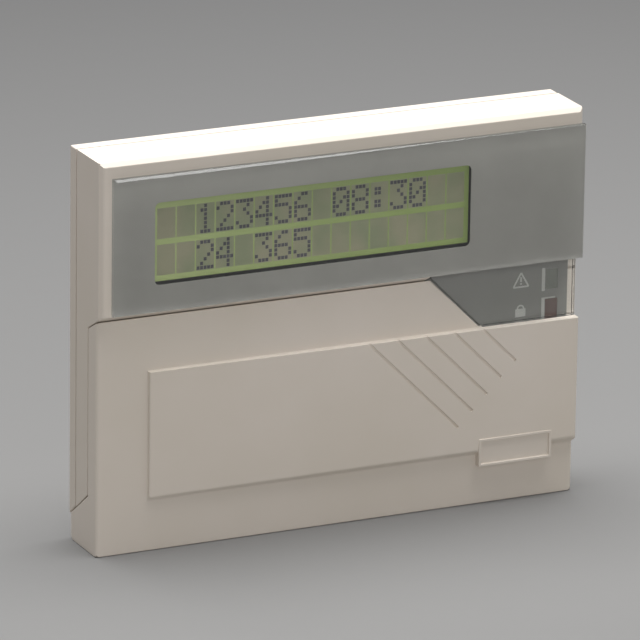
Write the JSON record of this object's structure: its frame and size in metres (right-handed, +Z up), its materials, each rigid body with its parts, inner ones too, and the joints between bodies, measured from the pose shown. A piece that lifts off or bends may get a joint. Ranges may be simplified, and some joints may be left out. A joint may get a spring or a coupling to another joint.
{
  "type": "alarm keypad panel",
  "caption": "Wall-mounted alarm keypad with a two-line character display, status lights and sprung keys behind a fold-down door.",
  "frame": {"origin": "centre of the back plate's wall face", "axes": "+X to the right along the panel's width, +Y into the wall so that the front faces -Y, +Z up"},
  "size_m": [0.152, 0.0244, 0.1175],
  "materials": {
    "housing_plastic": "fine-grained warm beige ABS moulding, satin",
    "key_plastic": "pale grey keycap, satin, printed figure",
    "key_rubber": "soft silicone sheet",
    "smoked_lens": "clear polished acrylic with a light smoke tint",
    "grey_print": "grey ink film behind the lens",
    "display_glass": "yellow-green display glass",
    "light_guide": "frosted acrylic light guide",
    "green_led": "small green backlight chips",
    "amber_led": "amber chip",
    "red_led": "red chip",
    "clear_pipe": "smoky diffusing acrylic",
    "red_pipe": "dark red diffusing acrylic",
    "black_rubber": "carbon-filled elastomer",
    "black_plastic": "moulded black plastic",
    "red_plastic": "moulded red plastic",
    "terminal_plastic": "moulded green terminal body",
    "board_laminate": "green solder-masked laminate",
    "capacitor_sleeve": "dark blue shrink sleeve",
    "resistor_body": "tan coated film resistors",
    "white_card": "white coated card",
    "steel": "zinc-plated steel"
  },
  "bodies": {
    "housing": {"back_plate": "housing_plastic", "front_housing": "housing_plastic", "display_lens": "smoked_lens", "lens_mask": "grey_print", "lcd_bezel": "steel", "lcd_glass": "display_glass", "lcd_light_guide": "light_guide", "lcd_backlights": "green_led", "lcd_contact_strips": "black_rubber", "lcd_board": "board_laminate", "lcd_header": "black_plastic", "lcd_screws": "steel", "circuit_board": "board_laminate", "board_screws": "steel", "key_mat": "key_rubber", "key_contacts": "black_rubber", "trouble_led": "amber_led", "armed_led": "red_led", "trouble_light_pipe": "clear_pipe", "armed_light_pipe": "red_pipe", "terminal_block": "terminal_plastic", "terminal_screws": "steel", "buzzer": "black_plastic", "microcontroller": "black_plastic", "voltage_regulator": "black_plastic", "capacitors": "capacitor_sleeve", "resistors": "resistor_body", "crystal": "steel", "tamper_switch": "black_plastic"},
    "door": {"door": "housing_plastic", "door_hinge_pins": "steel", "door_label": "white_card"},
    "tamper_pin": {"tamper_plunger": "red_plastic"},
    "key_1_cap": {"key_1": "key_plastic"},
    "key_2_cap": {"key_2": "key_plastic"},
    "key_3_cap": {"key_3": "key_plastic"},
    "key_4_cap": {"key_4": "key_plastic"},
    "key_5_cap": {"key_5": "key_plastic"},
    "key_6_cap": {"key_6": "key_plastic"},
    "key_7_cap": {"key_7": "key_plastic"},
    "key_8_cap": {"key_8": "key_plastic"},
    "key_9_cap": {"key_9": "key_plastic"},
    "key_star_cap": {"key_star": "key_plastic"},
    "key_0_cap": {"key_0": "key_plastic"},
    "key_hash_cap": {"key_hash": "key_plastic"},
    "key_fire_cap": {"key_fire": "key_plastic"},
    "key_aid_cap": {"key_aid": "key_plastic"},
    "key_panic_cap": {"key_panic": "key_plastic"},
    "key_stay_cap": {"key_stay": "key_plastic"},
    "key_away_cap": {"key_away": "key_plastic"},
    "key_chime_cap": {"key_chime": "key_plastic"},
    "key_bypass_cap": {"key_bypass": "key_plastic"},
    "key_left_cap": {"key_left": "key_plastic"},
    "key_right_cap": {"key_right": "key_plastic"},
    "key_enter_cap": {"key_enter": "key_plastic"},
    "key_exit_cap": {"key_exit": "key_plastic"}
  },
  "joints": [
    {"name": "door_hinge", "type": "hinge", "parent": "housing", "child": "door", "pos_m": [0, -0.005, -0.05815], "axis": [1, 0, 0], "range_deg": [0, 90]},
    {"name": "key_1_press", "type": "slide", "parent": "housing", "child": "key_1_cap", "axis": [0, 1, 0], "range_m": [0, 0.001], "stiffness_N_per_m": 1000, "springref_m": -0.0005},
    {"name": "key_2_press", "type": "slide", "parent": "housing", "child": "key_2_cap", "axis": [0, 1, 0], "range_m": [0, 0.001], "stiffness_N_per_m": 1000, "springref_m": -0.0005},
    {"name": "key_3_press", "type": "slide", "parent": "housing", "child": "key_3_cap", "axis": [0, 1, 0], "range_m": [0, 0.001], "stiffness_N_per_m": 1000, "springref_m": -0.0005},
    {"name": "key_4_press", "type": "slide", "parent": "housing", "child": "key_4_cap", "axis": [0, 1, 0], "range_m": [0, 0.001], "stiffness_N_per_m": 1000, "springref_m": -0.0005},
    {"name": "key_5_press", "type": "slide", "parent": "housing", "child": "key_5_cap", "axis": [0, 1, 0], "range_m": [0, 0.001], "stiffness_N_per_m": 1000, "springref_m": -0.0005},
    {"name": "key_6_press", "type": "slide", "parent": "housing", "child": "key_6_cap", "axis": [0, 1, 0], "range_m": [0, 0.001], "stiffness_N_per_m": 1000, "springref_m": -0.0005},
    {"name": "key_7_press", "type": "slide", "parent": "housing", "child": "key_7_cap", "axis": [0, 1, 0], "range_m": [0, 0.001], "stiffness_N_per_m": 1000, "springref_m": -0.0005},
    {"name": "key_8_press", "type": "slide", "parent": "housing", "child": "key_8_cap", "axis": [0, 1, 0], "range_m": [0, 0.001], "stiffness_N_per_m": 1000, "springref_m": -0.0005},
    {"name": "key_9_press", "type": "slide", "parent": "housing", "child": "key_9_cap", "axis": [0, 1, 0], "range_m": [0, 0.001], "stiffness_N_per_m": 1000, "springref_m": -0.0005},
    {"name": "key_star_press", "type": "slide", "parent": "housing", "child": "key_star_cap", "axis": [0, 1, 0], "range_m": [0, 0.001], "stiffness_N_per_m": 1000, "springref_m": -0.0005},
    {"name": "key_0_press", "type": "slide", "parent": "housing", "child": "key_0_cap", "axis": [0, 1, 0], "range_m": [0, 0.001], "stiffness_N_per_m": 1000, "springref_m": -0.0005},
    {"name": "key_hash_press", "type": "slide", "parent": "housing", "child": "key_hash_cap", "axis": [0, 1, 0], "range_m": [0, 0.001], "stiffness_N_per_m": 1000, "springref_m": -0.0005},
    {"name": "key_fire_press", "type": "slide", "parent": "housing", "child": "key_fire_cap", "axis": [0, 1, 0], "range_m": [0, 0.001], "stiffness_N_per_m": 1000, "springref_m": -0.0005},
    {"name": "key_aid_press", "type": "slide", "parent": "housing", "child": "key_aid_cap", "axis": [0, 1, 0], "range_m": [0, 0.001], "stiffness_N_per_m": 1000, "springref_m": -0.0005},
    {"name": "key_panic_press", "type": "slide", "parent": "housing", "child": "key_panic_cap", "axis": [0, 1, 0], "range_m": [0, 0.001], "stiffness_N_per_m": 1000, "springref_m": -0.0005},
    {"name": "key_stay_press", "type": "slide", "parent": "housing", "child": "key_stay_cap", "axis": [0, 1, 0], "range_m": [0, 0.001], "stiffness_N_per_m": 1000, "springref_m": -0.0005},
    {"name": "key_away_press", "type": "slide", "parent": "housing", "child": "key_away_cap", "axis": [0, 1, 0], "range_m": [0, 0.001], "stiffness_N_per_m": 1000, "springref_m": -0.0005},
    {"name": "key_chime_press", "type": "slide", "parent": "housing", "child": "key_chime_cap", "axis": [0, 1, 0], "range_m": [0, 0.001], "stiffness_N_per_m": 1000, "springref_m": -0.0005},
    {"name": "key_bypass_press", "type": "slide", "parent": "housing", "child": "key_bypass_cap", "axis": [0, 1, 0], "range_m": [0, 0.001], "stiffness_N_per_m": 1000, "springref_m": -0.0005},
    {"name": "key_left_press", "type": "slide", "parent": "housing", "child": "key_left_cap", "axis": [0, 1, 0], "range_m": [0, 0.001], "stiffness_N_per_m": 1000, "springref_m": -0.0005},
    {"name": "key_right_press", "type": "slide", "parent": "housing", "child": "key_right_cap", "axis": [0, 1, 0], "range_m": [0, 0.001], "stiffness_N_per_m": 1000, "springref_m": -0.0005},
    {"name": "key_enter_press", "type": "slide", "parent": "housing", "child": "key_enter_cap", "axis": [0, 1, 0], "range_m": [0, 0.001], "stiffness_N_per_m": 1000, "springref_m": -0.0005},
    {"name": "key_exit_press", "type": "slide", "parent": "housing", "child": "key_exit_cap", "axis": [0, 1, 0], "range_m": [0, 0.001], "stiffness_N_per_m": 1000, "springref_m": -0.0005},
    {"name": "tamper_press", "type": "slide", "parent": "housing", "child": "tamper_pin", "axis": [0, -1, 0], "range_m": [0, 0.0012], "stiffness_N_per_m": 600, "springref_m": -0.0005}
  ]
}
